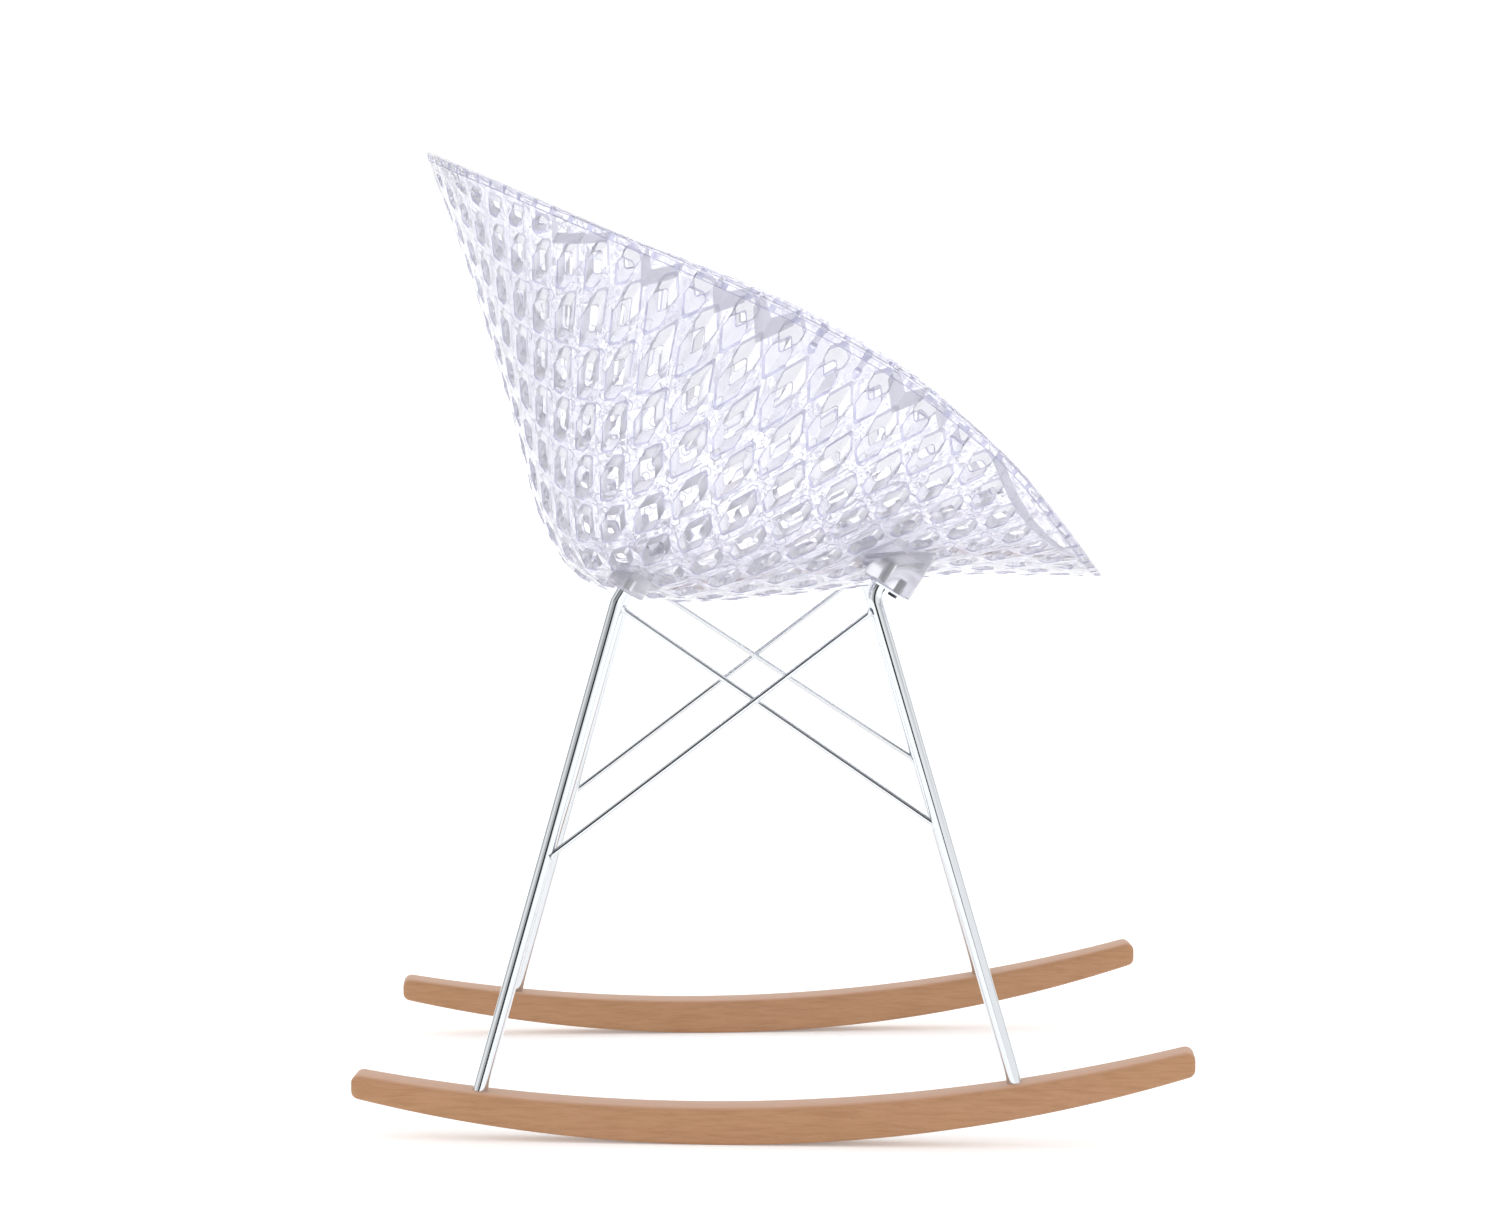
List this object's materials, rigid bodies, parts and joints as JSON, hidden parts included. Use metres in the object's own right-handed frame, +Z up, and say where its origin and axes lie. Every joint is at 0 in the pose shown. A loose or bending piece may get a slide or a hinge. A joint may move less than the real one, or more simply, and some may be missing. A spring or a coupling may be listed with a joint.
{
  "type": "rocking chair",
  "caption": "Clear moulded bucket seat with an open lattice wall, on chromed tube legs with crossed brace rods and bow rockers of pale wood.",
  "frame": {"origin": "on the floor, under the middle of the chair's overall length and width", "axes": "+X the way the sitter faces, +Y the sitter's left, +Z up"},
  "size_m": [0.692, 0.616, 0.816],
  "materials": {
    "clear_shell": "clear moulded polycarbonate, polished",
    "chromed_steel": "bright chrome plate on steel tube",
    "rocker_wood": "pale ash or beech under clear matt lacquer",
    "plated_fastener": "zinc-plated steel"
  },
  "bodies": {
    "root": {"brace_to_front_left": "chromed_steel", "brace_to_front_right": "chromed_steel", "brace_to_rear_left": "chromed_steel", "brace_to_rear_right": "chromed_steel", "leg_front_left": "chromed_steel", "leg_front_right": "chromed_steel", "leg_plug_front_left": "plated_fastener", "leg_plug_front_right": "plated_fastener", "leg_plug_rear_left": "plated_fastener", "leg_plug_rear_right": "plated_fastener", "leg_rear_left": "chromed_steel", "leg_rear_right": "chromed_steel", "rocker_left": "rocker_wood", "rocker_right": "rocker_wood", "rocker_screw_front_left": "plated_fastener", "rocker_screw_front_right": "plated_fastener", "rocker_screw_rear_left": "plated_fastener", "rocker_screw_rear_right": "plated_fastener", "seat_shell": "clear_shell", "socket_tab_left": "chromed_steel", "socket_tab_right": "chromed_steel", "tab_screw_left": "plated_fastener", "tab_screw_right": "plated_fastener"}
  },
  "joints": []
}
